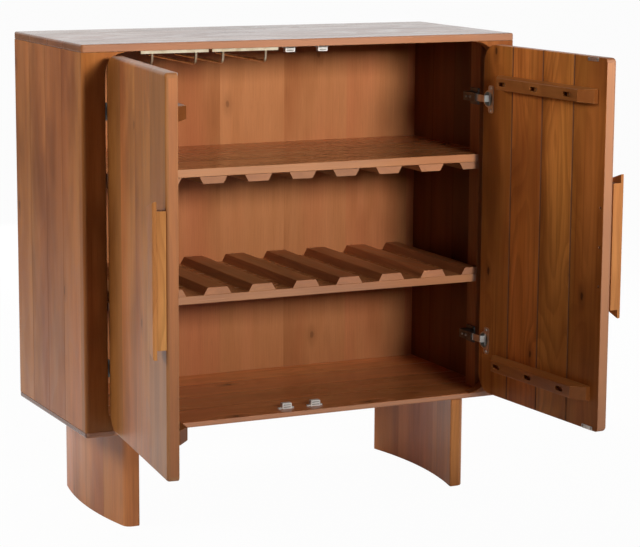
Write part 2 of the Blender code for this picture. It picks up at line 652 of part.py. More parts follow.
def make_strikes(side, parent):
    """Steel plates at the door's top and bottom edge that meet the catches."""
    sign = SIDES[side]
    top_x, bottom_x = {"left": (TOP_LEFT_CATCH_X, BOTTOM_LEFT_CATCH_X),
                       "right": (TOP_RIGHT_CATCH_X, BOTTOM_RIGHT_CATCH_X)}[side]
    half = STRIKE_WIDTH / 2
    corner = SMALL_ROUND
    places = (("upper", top_x, DOOR_TOP - STRIKE_INSET - STRIKE_HEIGHT),
              ("lower", bottom_x, DOOR_BOTTOM + STRIKE_INSET))
    for level, x, low in places:
        u = HINGE_X - x
        outline = rounded_rectangle(u - half, u + half, low, low + STRIKE_HEIGHT, (corner,) * 4)
        bm = prism([(-sign * a, b) for a, b in outline], INNER_FACE, INNER_FACE + STRIKE_THICKNESS, along_y)
        add_object("%s_%s_strike" % (side, level), bm, "steel", parent)


def make_door(side, open_deg, root):
    """One door on its hinge empty, built closed and turned to the angle it stands open at."""
    sign = SIDES[side]
    hinge = empty(side + "_door_hinge", (sign * HINGE_X, 0, 0), sign * open_deg, root)
    make_door_panel(side, hinge)
    for level, z in BATTEN_LEVELS.items():
        make_batten(side, level, z, hinge)
    for level, z in HINGE_LEVELS.items():
        make_hinge_cup(side, level, z, hinge)
        make_hinge_arm(side, level, z, root)
    make_handle(side, hinge)
    make_strikes(side, hinge)


def centre_on_footprint(root):
    """Moves the root so that the origin is the middle of the open cabinet's footprint, on the floor."""
    bpy.context.view_layer.update()
    solids = [o for o in bpy.data.objects if o.type == "MESH" and not o.hide_render]
    points = [o.matrix_world @ v.co for o in solids for v in o.data.vertices]
    for axis in range(2):
        values = [p[axis] for p in points]
        root.location[axis] = -(min(values) + max(values)) / 2
    bpy.context.view_layer.update()


def main():
    clear_scene()
    root = empty("cabinet", (0, 0, 0))
    make_slabs(root)
    make_sides(root)
    make_back(root)
    make_shelves(root)
    make_slats(root)
    make_legs(root)
    make_racks(root)
    make_catches(root)
    make_door("left", LEFT_OPEN_DEG, root)
    make_door("right", RIGHT_OPEN_DEG, root)
    centre_on_footprint(root)


main()
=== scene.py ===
"""Looks of the bar buffet cabinet: stained pine, brass racks, plated hinges and their small fasteners."""

import json
import math

import bmesh
import bpy
from mathutils import Matrix, Vector


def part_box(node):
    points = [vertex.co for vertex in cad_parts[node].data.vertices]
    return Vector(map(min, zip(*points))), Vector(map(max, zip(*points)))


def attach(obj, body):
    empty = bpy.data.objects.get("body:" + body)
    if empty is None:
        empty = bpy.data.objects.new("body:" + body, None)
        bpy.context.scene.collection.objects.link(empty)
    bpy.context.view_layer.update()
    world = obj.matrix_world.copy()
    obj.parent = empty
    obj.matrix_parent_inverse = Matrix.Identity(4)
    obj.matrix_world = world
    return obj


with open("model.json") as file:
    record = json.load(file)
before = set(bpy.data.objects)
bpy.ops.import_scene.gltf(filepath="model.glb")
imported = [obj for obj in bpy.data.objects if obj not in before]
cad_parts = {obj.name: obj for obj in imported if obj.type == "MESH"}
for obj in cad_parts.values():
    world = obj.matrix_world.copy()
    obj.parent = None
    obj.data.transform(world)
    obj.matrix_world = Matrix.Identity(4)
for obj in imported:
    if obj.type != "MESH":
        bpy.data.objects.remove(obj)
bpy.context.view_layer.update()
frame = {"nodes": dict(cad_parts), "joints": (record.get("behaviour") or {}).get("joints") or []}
nodes = frame["nodes"]
joints = {j["name"]: j for j in frame["joints"]}


def box_middle(name):
    low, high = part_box(name)
    return (low + high) / 2


# Carcass frame: middle of the front plane, at floor level
MIDDLE = Vector((box_middle("top_panel").x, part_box("top_panel")[0].y, 0))

# Doors: hinge axis, turn from closed to the rest pose, seed of the grain
LEFT_TURN = math.radians(-96.5)
RIGHT_TURN = math.radians(93.5)


def hinge_axis(name):
    return Vector((joints[name]["pos_m"][0], joints[name]["pos_m"][1], 0))


DOORS = {
    "left": (hinge_axis("left_door_hinge"), LEFT_TURN, 30.0),
    "right": (hinge_axis("right_door_hinge"), RIGHT_TURN, 54.4),
}
DOOR_WIDTH = 0.447
DOOR_THICKNESS = 0.024
DOOR_PLANK = DOOR_WIDTH / 4
SEAM = 0.0003
LEVELS = ("upper", "lower")
CATCHES = ("top_left_catch", "top_right_catch", "bottom_left_catch", "bottom_right_catch")
RACKS = ("inner_stemware_rack", "outer_stemware_rack")


class Tree:
    """Short ways to add and wire shader nodes."""

    def __init__(self, tree):
        self.tree = tree

    def node(self, kind, **settings):
        made = self.tree.nodes.new(kind)
        for key, value in settings.items():
            setattr(made, key, value)
        return made

    def put(self, socket, value):
        if isinstance(value, bpy.types.NodeSocket):
            self.tree.links.new(value, socket)
        elif value is not None:
            socket.default_value = value

    def math(self, operation, a, b=None):
        made = self.node("ShaderNodeMath", operation=operation)
        for socket, value in zip(made.inputs, (a, b)):
            self.put(socket, value)
        return made.outputs[0]

    def vector(self, operation, a, b=None):
        made = self.node("ShaderNodeVectorMath", operation=operation)
        for socket, value in zip(made.inputs, (a, b)):
            self.put(socket, value)
        return made.outputs[0]

    def scaled(self, colour, factor):
        made = self.node("ShaderNodeVectorMath", operation="SCALE")
        self.put(made.inputs[0], colour)
        self.put(made.inputs["Scale"], factor)
        return made.outputs[0]

    def split(self, vector):
        made = self.node("ShaderNodeSeparateXYZ")
        self.put(made.inputs[0], vector)
        return made.outputs

    def join(self, x, y, z):
        made = self.node("ShaderNodeCombineXYZ")
        for socket, value in zip(made.inputs, (x, y, z)):
            self.put(socket, value)
        return made.outputs[0]

    def noise(self, vector, scale, detail=3.0, roughness=0.5):
        made = self.node("ShaderNodeTexNoise")
        self.put(made.inputs["Vector"], vector)
        for key, value in (("Scale", scale), ("Detail", detail), ("Roughness", roughness)):
            made.inputs[key].default_value = value
        return made.outputs["Fac"]

    def remap(self, value, low, high, to_low=0.0, to_high=1.0, smooth=True):
        made = self.node("ShaderNodeMapRange")
        made.interpolation_type = "SMOOTHSTEP" if smooth else "LINEAR"
        for socket, item in zip(made.inputs, (value, low, high, to_low, to_high)):
            self.put(socket, item)
        return made.outputs[0]

    def mix(self, factor, a, b):
        made = self.node("ShaderNodeMix", data_type="RGBA")
        self.put(made.inputs["Factor"], factor)
        self.put(made.inputs[6], a)
        self.put(made.inputs[7], b)
        return made.outputs[2]

    def bump(self, height, strength, distance):
        made = self.node("ShaderNodeBump")
        made.inputs["Strength"].default_value = strength
        made.inputs["Distance"].default_value = distance
        self.put(made.inputs["Height"], height)
        return made.outputs[0]


def make_wood_group():
    """Solid pine: planks cut from a ringed log, with fibres, streaks and knots.

    Vector is in metres with X across the planks, Y through them and Z along the grain.
    """
    group = bpy.data.node_groups.new("pine_grain", "ShaderNodeTree")
    face = group.interface
    face.new_socket("Vector", in_out="INPUT", socket_type="NodeSocketVector")
    for name in ("Plank", "Span", "Seed", "Tone", "Figure", "Knots", "Seams", "Seam From", "Roughness"):
        face.new_socket(name, in_out="INPUT", socket_type="NodeSocketFloat")
    for name in ("Light", "Mid", "Dark"):
        face.new_socket(name, in_out="INPUT", socket_type="NodeSocketColor")
    face.new_socket("Color", in_out="OUTPUT", socket_type="NodeSocketColor")
    face.new_socket("Roughness", in_out="OUTPUT", socket_type="NodeSocketFloat")
    face.new_socket("Height", in_out="OUTPUT", socket_type="NodeSocketFloat")
    face.new_socket("Seam", in_out="OUTPUT", socket_type="NodeSocketFloat")
    t = Tree(group)
    given = t.node("NodeGroupInput").outputs
    x, y, z = t.split(given["Vector"])[:3]

    # Each plank comes from its own place in the log
    place = t.math("DIVIDE", x, given["Plank"])
    index = t.math("FLOOR", place)
    within = t.math("SUBTRACT", t.math("SUBTRACT", place, index), 0.5)
    chance = t.node("ShaderNodeTexWhiteNoise", noise_dimensions="2D")
    t.put(chance.inputs["Vector"], t.join(index, given["Seed"], 0.0))
    r1, r2, r3 = t.split(chance.outputs["Color"])[:3]
    shifted = t.join(t.math("ADD", x, t.math("MULTIPLY", r1, 3.1)),
                     t.math("ADD", y, t.math("MULTIPLY", r2, 2.3)),
                     t.math("ADD", z, t.math("MULTIPLY", r3, 5.7)))

    # Knots push the rings aside
    cells = t.node("ShaderNodeTexVoronoi", feature="F1", voronoi_dimensions="2D")
    across, _, along = t.split(shifted)[:3]
    stretched = t.join(t.math("MULTIPLY", across, 7.5), t.math("MULTIPLY", along, 3.6), 0.0)
    t.put(cells.inputs["Vector"], stretched)
    cells.inputs["Scale"].default_value = 1.0
    ripple = t.math("MULTIPLY", t.math("SUBTRACT", t.noise(shifted, 60.0, 2.0), 0.5), 0.04)
    distance = t.math("ADD", cells.outputs["Distance"], ripple)
    chosen = t.math("GREATER_THAN", t.split(cells.outputs["Color"])[0], 0.66)
    present = t.math("MULTIPLY", chosen, given["Knots"])
    near = t.math("MULTIPLY", t.remap(distance, 0.30, 0.03), present)
    core = t.math("MULTIPLY", t.remap(distance, 0.042, 0.018), present)
    halo = t.math("MULTIPLY", t.remap(distance, 0.14, 0.035), present)

    # Growth rings round a wandering heart
    slow = t.math("SUBTRACT", t.noise(t.vector("MULTIPLY", shifted, (5.0, 5.0, 1.8)), 1.0, 2.0), 0.5)
    wander = t.noise(t.vector("MULTIPLY", shifted, (16.0, 16.0, 3.2)), 1.0, 3.0)
    across = t.math("ADD", t.math("MULTIPLY", within, given["Plank"]),
                    t.math("MULTIPLY", t.math("SUBTRACT", r2, 0.5), 0.11))
    across = t.math("ADD", across, t.math("MULTIPLY", slow, 0.16))
    deep = t.math("ADD", t.math("MULTIPLY", slow, 0.10), t.math("ADD", t.math("MULTIPLY", r3, 0.05), 0.012))
    deep = t.math("ADD", deep, y)
    radius = t.math("SQRT", t.math("ADD", t.math("MULTIPLY", across, across), t.math("MULTIPLY", deep, deep)))
    radius = t.math("ADD", radius, t.math("MULTIPLY", wander, 0.022))
    radius = t.math("ADD", radius, t.math("MULTIPLY", near, 0.016))
    ring = t.math("FRACT", t.math("DIVIDE", radius, 0.0105))
    late = t.math("MULTIPLY", t.remap(ring, 0.20, 0.85), t.remap(ring, 1.0, 0.86))
    band = t.noise(t.join(t.math("MULTIPLY", radius, 30.0), r1, t.math("MULTIPLY", z, 0.25)), 1.0, 2.0)

    fibre = t.noise(t.vector("MULTIPLY", shifted, (520.0, 520.0, 11.0)), 1.0, 2.0, 0.6)
    streak = t.noise(t.vector("MULTIPLY", shifted, (26.0, 26.0, 2.4)), 1.0, 4.0, 0.5)
    cloud = t.noise(t.vector("MULTIPLY", shifted, (7.0, 7.0, 2.4)), 1.0, 3.0, 0.55)
    pore = t.noise(t.vector("MULTIPLY", shifted, (900.0, 900.0, 26.0)), 1.0, 1.0, 0.5)
    vein = t.noise(t.vector("MULTIPLY", shifted, (95.0, 95.0, 1.6)), 1.0, 3.0, 0.6)
    warmth = t.noise(t.vector("MULTIPLY", shifted, (9.0, 9.0, 1.5)), 1.0, 2.0, 0.5)

    colour = t.mix(t.remap(streak, 0.30, 0.72), given["Light"], given["Mid"])
    colour = t.mix(t.math("MULTIPLY", t.remap(cloud, 0.44, 0.74), 0.75), colour, given["Dark"])
    colour = t.mix(t.math("MULTIPLY", t.remap(vein, 0.56, 0.74), t.math("MULTIPLY", given["Figure"], 0.45)),
                   colour, given["Dark"])
    colour = t.mix(t.math("MULTIPLY", t.remap(band, 0.42, 0.78), t.math("MULTIPLY", given["Figure"], 0.28)),
                   colour, given["Dark"])
    ringed = t.math("MULTIPLY", given["Figure"], t.math("ADD", 0.04, t.math("MULTIPLY", r3, 0.30)))
    colour = t.mix(t.math("MULTIPLY", late, ringed), colour, given["Dark"])
    redder = t.vector("MULTIPLY", colour, (1.04, 0.93, 0.88))
    yellower = t.vector("MULTIPLY", colour, (0.99, 1.03, 0.93))
    lean = t.math("ADD", t.math("MULTIPLY", warmth, 0.75), t.math("MULTIPLY", r2, 0.25))
    colour = t.mix(t.remap(lean, 0.36, 0.64), redder, yellower)
    colour = t.mix(t.math("MULTIPLY", halo, 0.50), colour, (0.105, 0.030, 0.008, 1.0))
    colour = t.mix(t.math("MULTIPLY", core, 0.90), colour, (0.016, 0.005, 0.002, 1.0))
    tone = t.math("ADD", 1.0, t.math("MULTIPLY", t.math("SUBTRACT", r1, 0.5), given["Tone"]))
    fine = t.remap(fibre, 0.30, 0.70, 0.93, 1.06, smooth=False)
    dots = t.remap(pore, 0.60, 0.72, 1.0, 0.90)
    colour = t.scaled(colour, t.math("MULTIPLY", t.math("MULTIPLY", tone, fine), dots))

    # Darker line where two planks meet
    to_edge = t.math("MULTIPLY", t.math("SUBTRACT", 0.5, t.math("ABSOLUTE", within)), given["Plank"])
    reach = t.math("ABSOLUTE", x)
    inside = t.remap(t.math("MINIMUM", reach, t.math("SUBTRACT", given["Span"], reach)), 0.006, 0.008)
    inside = t.math("MULTIPLY", inside, t.math("GREATER_THAN", y, given["Seam From"]))
    edge = t.math("MULTIPLY", t.remap(to_edge, 0.0029, 0.0019), t.math("MULTIPLY", inside, given["Seams"]))
    colour = t.mix(edge, colour, (0.060, 0.013, 0.002, 1.0))

    rough = t.math("ADD", given["Roughness"], t.math("MULTIPLY", fibre, 0.10))
    rough = t.math("ADD", rough, t.math("MULTIPLY", late, -0.05))
    rough = t.math("ADD", rough, t.math("MULTIPLY", cloud, 0.10))
    rough = t.math("ADD", rough, t.math("MULTIPLY", edge, 0.50))
    height = t.math("ADD", t.math("MULTIPLY", late, 0.30), t.math("MULTIPLY", fibre, 0.45))
    height = t.math("SUBTRACT", height, t.math("MULTIPLY", t.remap(pore, 0.58, 0.72), 0.5))
    height = t.math("SUBTRACT", height, t.math("MULTIPLY", edge, 0.8))
    height = t.math("ADD", height, t.math("MULTIPLY", core, 0.5))
    out = t.node("NodeGroupOutput")
    t.put(out.inputs["Color"], colour)
    t.put(out.inputs["Roughness"], rough)
    t.put(out.inputs["Height"], height)
    t.put(out.inputs["Seam"], edge)
    return group


WOOD = make_wood_group()

# Stain of each kind of piece: light, middle and dark parts of the grain
TONES = {
    "case": ((0.460, 0.172, 0.052, 1), (0.345, 0.118, 0.031, 1), (0.175, 0.050, 0.011, 1)),
    # The bottom panel's stain is lifted well above the case's: part of that lift is painted light on the
    # inner floor
    "base": ((0.750, 0.288, 0.104, 1), (0.585, 0.204, 0.066, 1), (0.345, 0.108, 0.028, 1)),
    "leg": ((0.640, 0.248, 0.082, 1), (0.500, 0.176, 0.050, 1), (0.260, 0.080, 0.019, 1)),
    "slat": ((0.400, 0.152, 0.058, 1), (0.285, 0.099, 0.034, 1), (0.125, 0.036, 0.010, 1)),
    "slab": ((0.390, 0.158, 0.065, 1), (0.300, 0.110, 0.040, 1), (0.175, 0.056, 0.017, 1)),
    "inside": ((0.468, 0.182, 0.079, 1), (0.418, 0.157, 0.065, 1), (0.290, 0.095, 0.035, 1)),
    "shelf": ((0.510, 0.210, 0.086, 1), (0.405, 0.153, 0.056, 1), (0.228, 0.074, 0.022, 1)),
    "left_door": ((0.505, 0.188, 0.052, 1), (0.378, 0.128, 0.031, 1), (0.180, 0.050, 0.011, 1)),
    "right_door": ((0.580, 0.208, 0.048, 1), (0.435, 0.144, 0.028, 1), (0.180, 0.048, 0.010, 1)),
    "handle": ((0.740, 0.335, 0.112, 1), (0.620, 0.250, 0.078, 1), (0.360, 0.130, 0.035, 1)),
}
# Factor for the side panels' inner faces: a painted shade for the dark walls inside the case
INNER_PAINTED_SHADE = 0.45
# Pale pinkish tone for board edges and slat fronts: a painted sheen where they face the light
PAINTED_SHEEN = (0.57, 0.290, 0.172, 1)
# Near-black for cut ends: on the handles a painted shade for the pockets at their ends, on the bottom panel a
# dark line along its ends
END_DARK = (0.130, 0.040, 0.012, 1)

# Widths of the boards, and where the first ones start
SLAB_PLANK = 0.1075
SIDE_PLANK = 0.1015
LEG_PLANK = 0.095
SHELF_PLANK = 0.128
BACK_PLANK = 0.16
SLAT_PITCH = 0.1033
SLAT_HALF_PITCH = 0.0517
SIDE_BOARDS_Y = 0.0243


def wood(name, tone, axes, plank, seed, start=Vector((0, 0, 0)), turn=0.0, planks=1, knots=1.0,
         spread=0.25, figure=1.0, seams=0.0, seam_from=-1.0, gloss=0.3, roughness=0.28,
         end_grain_and_painted_light=0.0, end_colour=None, rim=0.0, painted_shade_within=0.0):
    """Pine on a piece, in the piece's own axes: from a start point, and turned about Z.

    The three axes are read as across the planks, through them and along them.
    """
    material = bpy.data.materials.new(name)
    material.use_nodes = True
    t = Tree(material.node_tree)
    shader = material.node_tree.nodes["Principled BSDF"]
    source = t.node("ShaderNodeTexCoord").outputs
    coords = source["Object"]
    local = t.node("ShaderNodeMapping", vector_type="TEXTURE")
    t.put(local.inputs["Vector"], coords)
    local.inputs["Location"].default_value = start
    local.inputs["Rotation"].default_value = (0, 0, turn)
    parts = t.split(local.outputs[0])
    grain = t.node("ShaderNodeGroup", node_tree=WOOD)
    t.put(grain.inputs["Vector"], t.join(*(parts["XYZ".index(a)] for a in axes)))
    for key, value in (("Plank", plank), ("Span", plank * planks), ("Seed", seed), ("Tone", spread),
                       ("Figure", figure), ("Knots", knots), ("Seams", seams), ("Seam From", seam_from),
                       ("Roughness", roughness)):
        grain.inputs[key].default_value = value
    for key, value in zip(("Light", "Mid", "Dark"), TONES[tone]):
        grain.inputs[key].default_value = value

    def facing(axis):
        """How squarely the surface faces along one of the piece's own axes."""
        way = Matrix.Rotation(turn, 3, "Z") @ Vector([1.0 if a == axis else 0.0 for a in "XYZ"])
        dot = t.node("ShaderNodeVectorMath", operation="DOT_PRODUCT")
        t.put(dot.inputs[0], source["Normal"])
        t.put(dot.inputs[1], way)
        return t.math("ABSOLUTE", dot.outputs["Value"])

    # Cut ends take their own tone: darker end grain, which on the handles is a painted shade for their
    # pockets, and on the slat fronts a pale painted sheen. Long edges across the planks get the same pale
    # painted sheen
    ends = t.remap(facing(axes[2]), 0.35, 0.70, 0.0, end_grain_and_painted_light)
    stained = t.mix(ends, grain.outputs["Color"], end_colour or TONES[tone][2])
    stained = t.mix(t.remap(facing(axes[0]), 0.55, 0.90, 0.0, rim), stained, PAINTED_SHEEN)
    # Painted shade: the side panels' inner faces are darkened to stand in for the shadowed walls inside the
    # case
    if painted_shade_within:
        depth = t.math("ABSOLUTE", parts["XYZ".index(axes[1])])
        painted_inner_shade = t.remap(depth, painted_shade_within - 0.002, painted_shade_within + 0.002, INNER_PAINTED_SHADE, 1.0)
        stained = t.scaled(stained, painted_inner_shade)

    # Edges rubbed a little paler
    bevel = t.node("ShaderNodeBevel", samples=4)
    bevel.inputs["Radius"].default_value = 0.0025
    turned = t.node("ShaderNodeVectorMath", operation="DOT_PRODUCT")
    t.put(turned.inputs[0], bevel.outputs[0])
    t.put(turned.inputs[1], t.node("ShaderNodeNewGeometry").outputs["Normal"])
    rub = t.noise(coords, 38.0, 3.0)
    worn = t.math("MULTIPLY", t.remap(turned.outputs["Value"], 0.985, 0.80), t.remap(rub, 0.40, 0.65))
    worn = t.math("MULTIPLY", worn, t.remap(grain.outputs["Seam"], 0.0, 0.1, 1.0, 0.0))
    paler = t.mix(t.math("MULTIPLY", worn, 0.40), stained, TONES["handle"][0])
    t.put(shader.inputs["Base Color"], paler)
    t.put(shader.inputs["Roughness"], grain.outputs["Roughness"])
    t.put(shader.inputs["Normal"], t.bump(grain.outputs["Height"], 0.07, 0.0012))
    shader.inputs["Specular IOR Level"].default_value = gloss
    return material


def metal(name, colour, dark, roughness, brushed):
    """Plated or solid metal with fine brushing, faint smudges and dulled patches."""
    material = bpy.data.materials.new(name)
    material.use_nodes = True
    t = Tree(material.node_tree)
    shader = material.node_tree.nodes["Principled BSDF"]
    coords = t.node("ShaderNodeTexCoord").outputs["Object"]
    lines = t.noise(t.vector("MULTIPLY", coords, brushed), 1.0, 2.0)
    smudge = t.noise(coords, 45.0, 4.0, 0.6)
    t.put(shader.inputs["Base Color"], t.mix(t.remap(smudge, 0.35, 0.75), colour, dark))
    rough = t.math("ADD", roughness, t.math("MULTIPLY", smudge, 0.16))
    t.put(shader.inputs["Roughness"], t.math("ADD", rough, t.math("MULTIPLY", lines, 0.06)))
    t.put(shader.inputs["Normal"], t.bump(lines, 0.12, 0.0004))
    shader.inputs["Metallic"].default_value = 1.0
    return material


def plastic(name, colour, dirt):
    """Moulded plastic with a fine grit and a little grime."""
    material = bpy.data.materials.new(name)
    material.use_nodes = True
    t = Tree(material.node_tree)
    shader = material.node_tree.nodes["Principled BSDF"]
    coords = t.node("ShaderNodeTexCoord").outputs["Object"]
    grime = t.noise(coords, 70.0, 4.0, 0.6)
    grit = t.noise(coords, 1400.0, 2.0)
    t.put(shader.inputs["Base Color"], t.mix(t.remap(grime, 0.45, 0.8), colour, dirt))
    t.put(shader.inputs["Roughness"], t.math("ADD", 0.38, t.math("MULTIPLY", grime, 0.2)))
    t.put(shader.inputs["Normal"], t.bump(grit, 0.15, 0.0003))
    return material


def dress(material, *names):
    for name in names:
        slots = nodes[name].data.materials
        slots.clear()
        slots.append(material)


def dress_carcass():
    """Wood of the pieces that do not move."""
    side_start = MIDDLE + Vector((0, SIDE_BOARDS_Y, 0))
    top = wood("top_panel_pine", "slab", "YZX", SLAB_PLANK, 1.3, MIDDLE, planks=4, seams=0.2,
               gloss=0.5, roughness=0.12, figure=0.3, rim=0.35, end_grain_and_painted_light=0.35)
    dress(top, "top_panel")
    bottom = wood("bottom_panel_pine", "base", "YZX", SLAB_PLANK, 2.9, MIDDLE, planks=4, seams=0.2,
                  gloss=0.5, roughness=0.16, rim=0.50, end_grain_and_painted_light=0.9, end_colour=END_DARK)
    dress(bottom, "bottom_panel")
    stile_start = MIDDLE + Vector((-0.6, 0, 0))
    for side, seed, gloss, leg_gloss in (("left", 6.7, 0.24, 0.50), ("right", 19.4, 0.10, 0.25)):
        half = abs(box_middle(side + "_side_panel").x - MIDDLE.x)
        panel = wood(side + "_side_pine", "case", "YXZ", SIDE_PLANK, seed, side_start, planks=4,
                     spread=0.26, seams=0.2, knots=0.5, figure=0.5, gloss=gloss, painted_shade_within=half)
        dress(panel, side + "_side_panel")
        stile = wood(side + "_stile_pine", "case", "XYZ", 0.3, seed + 4.1, stile_start, knots=0.4,
                     gloss=0.2)
        dress(stile, side + "_stile")
        leg = wood(side + "_leg_pine", "leg", "YXZ", LEG_PLANK, seed + 17.4, side_start, planks=4,
                   knots=0.3, seams=0.1, spread=0.14, figure=0.5, gloss=leg_gloss)
        dress(leg, side + "_leg")
    post_start = MIDDLE + Vector((-0.5, 0, 0))
    # The posts take the darker slat stain: a painted shade for posts that sit in shadow behind the hinges
    posts = wood("post_pine", "slat", "XYZ", 0.25, 11.6, post_start, knots=0.5, gloss=0.12)
    dress(posts, "left_post", "right_post")
    back = wood("back_pine", "inside", "XYZ", BACK_PLANK, 12.8, post_start, knots=0.4, spread=0.12,
                figure=0.10, gloss=0.15)
    dress(back, "back_panel")
    for level, seed, shift in (("upper", 14.3, 0.007), ("lower", 15.7, 0.016)):
        shelf = wood(level + "_shelf_pine", "shelf", "YZX", SHELF_PLANK, seed, side_start, planks=3,
                     seams=0.2, gloss=0.5, roughness=0.16, figure=0.3, rim=0.35)
        dress(shelf, level + "_shelf")
        slat_start = MIDDLE + Vector((shift - SLAT_HALF_PITCH, 0, 0))
        slats = wood(level + "_slat_pine", "slat", "XZY", SLAT_PITCH, seed + 2.8, slat_start, knots=0.5,
                     spread=0.8, figure=1.4, gloss=0.25, end_grain_and_painted_light=0.5, end_colour=PAINTED_SHEEN)
        dress(slats, *("%s_slat_%d" % (level, i) for i in range(1, 10)))


def dress_doors():
    """Wood of the doors, read in each door's own closed frame."""
    for side, gloss, rim, figure, knots in (("left", 0.34, 0.25, 0.6, 0.5),
                                            ("right", 0.10, 0.70, 1.1, 0.8)):
        hinge, turn, seed = DOORS[side]
        planks = wood(side + "_door_pine", side + "_door", "XYZ", DOOR_PLANK, seed, hinge, turn,
                      planks=4, knots=knots, spread=0.6, figure=figure, seams=0.9, seam_from=0.017,
                      gloss=gloss, rim=rim)
        dress(planks, side + "_door_panel")
        battens = wood(side + "_batten_pine", "case", "ZYX", 0.2, seed + 3.3, hinge, turn, knots=0.3,
                       gloss=0.2, end_grain_and_painted_light=0.9)
        dress(battens, side + "_upper_batten", side + "_lower_batten")
        # The handles' cut ends are near-black: a painted shade for the pockets behind the grips
        grips = wood(side + "_handle_pine", "handle", "XYZ", 0.3, seed + 6.1, hinge, turn, knots=0.15,
                     gloss=0.2, end_grain_and_painted_light=0.9, end_colour=END_DARK)
        dress(grips, side + "_handle_grip", side + "_handle_spacer")


dress_carcass()
dress_doors()
# The hinge arms are near-black metal: a painted shade for arms that sit in the shadow of the posts
shaded_arm_metal = metal("arm_metal_painted_shade", (0.16, 0.155, 0.145, 1), (0.08, 0.075, 0.07, 1), 0.40, (90, 900, 90))
steel = metal("hinge_nickel", (0.66, 0.64, 0.60, 1), (0.46, 0.44, 0.41, 1), 0.30, (90, 90, 900))
screw_steel = metal("screw_steel", (0.42, 0.40, 0.37, 1), (0.18, 0.17, 0.15, 1), 0.32, (200, 200, 200))
# The racks' brass is paled toward cream: its yellow is the brass, the paleness a painted highlight on the
# bars
brass = metal("rack_brass", (0.92, 0.81, 0.60, 1), (0.70, 0.55, 0.33, 1), 0.26, (900, 60, 900))
white = plastic("catch_white", (0.78, 0.75, 0.70, 1), (0.55, 0.49, 0.42, 1))
for side in DOORS:
    for level in LEVELS:
        dress(steel, *("%s_%s_%s" % (side, level, part) for part in ("hinge_cup", "strike")))
        dress(shaded_arm_metal, "%s_%s_hinge_arm" % (side, level))
dress(brass, *RACKS)
dress(white, *CATCHES)


def link(name, mesh, body):
    """Object in the scene that rides a body."""
    obj = bpy.data.objects.new(name, mesh)
    bpy.context.scene.collection.objects.link(obj)
    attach(obj, body)


def mesh_from(bm, name):
    mesh = bpy.data.meshes.new(name)
    bm.to_mesh(mesh)
    bm.free()
    return mesh


def screw_mesh(name, radius, height):
    """Domed screw head with a cross recess; its seat is at z = 0."""
    sides, rings = 20, 5
    bm = bmesh.new()
    rows = []
    for i in range(rings):
        angle = math.pi / 2 * i / rings
        reach, z = radius * math.cos(angle), height * math.sin(angle)
        corners = [2 * math.pi * k / sides for k in range(sides)]
        rows.append([bm.verts.new((reach * math.cos(a), reach * math.sin(a), z)) for a in corners])
    crown = bm.verts.new((0, 0, height))
    for k in range(sides):
        n = (k + 1) % sides
        for first, second in zip(rows, rows[1:]):
            bm.faces.new((first[k], first[n], second[n], second[k]))
        bm.faces.new((rows[-1][k], rows[-1][n], crown))
    bm.faces.new(list(reversed(rows[0])))
    head = bpy.data.objects.new(name, mesh_from(bm, name))
    cross = bmesh.new()
    for turn in (0, math.pi / 2):
        matrix = (Matrix.Translation((0, 0, height)) @ Matrix.Rotation(turn, 4, "Z")
                  @ Matrix.Diagonal((radius * 1.15, radius * 0.24, height, 1)))
        bmesh.ops.create_cube(cross, size=1.0, matrix=matrix)
    cutter = bpy.data.objects.new(name + "_cross", mesh_from(cross, name + "_cross"))
    for obj in (head, cutter):
        bpy.context.scene.collection.objects.link(obj)
    cut = head.modifiers.new("cross", "BOOLEAN")
    cut.object = cutter
    cut.solver = "EXACT"
    cut.use_self = True
    bpy.context.view_layer.update()
    done = bpy.data.meshes.new_from_object(head.evaluated_get(bpy.context.evaluated_depsgraph_get()))
    for obj in (head, cutter):
        bpy.data.objects.remove(obj, do_unlink=True)
    return done


def screws(name, master, places, body, material):
    """One object that holds a set of like screws on one body; a place is a point and the way it faces."""
    bm = bmesh.new()
    for i, (point, normal) in enumerate(places):
        first = len(bm.verts)
        bm.from_mesh(master)
        bm.verts.ensure_lookup_table()
        faced = Vector(normal).to_track_quat("Z", "Y").to_matrix().to_4x4()
        matrix = Matrix.Translation(point) @ faced @ Matrix.Rotation(0.7 * i + 0.3, 4, "Z")
        bmesh.ops.transform(bm, matrix=matrix, verts=bm.verts[first:])
    mesh = mesh_from(bm, name)
    mesh.shade_smooth()
    mesh.set_sharp_from_angle(angle=math.radians(40))
    mesh.materials.append(material)
    link(name, mesh, body)


def door_point(side, u, v, z):
    """Point of a door in the row frame at rest, from its hinge edge, its outer face and the floor."""
    hinge, turn, seed = DOORS[side]
    along = u if side == "left" else -u
    return hinge + Matrix.Rotation(turn, 3, "Z") @ Vector((along, v, z))


def door_inward(side):
    return Matrix.Rotation(DOORS[side][1], 3, "Z") @ Vector((0, 1, 0))


pan = screw_mesh("pan_head", 0.0036, 0.0016)
small = screw_mesh("small_head", 0.0027, 0.0011)

# Places of the screws on a door, from its hinge edge and its inner face
FLANGE_SCREW_U = 0.0295
FLANGE_SCREW_RISE = 0.024
FLANGE_TOP = SEAM + 0.00105
STRIKE_TOP = SEAM + 0.0015
STRIKE_SCREW_REACH = 0.0141
BATTEN_SLOT_FIRST = 0.0684 + 0.0481
BATTEN_SLOT_PITCH = 0.1177
BATTEN_SLOT_FLOOR = SEAM + 0.0314 - 0.010
HANDLE_SCREW_PITCH = 0.081
HANDLE_SCREW_EDGE = 0.010
HANDLE_SCREW_DEPTH = 0.009

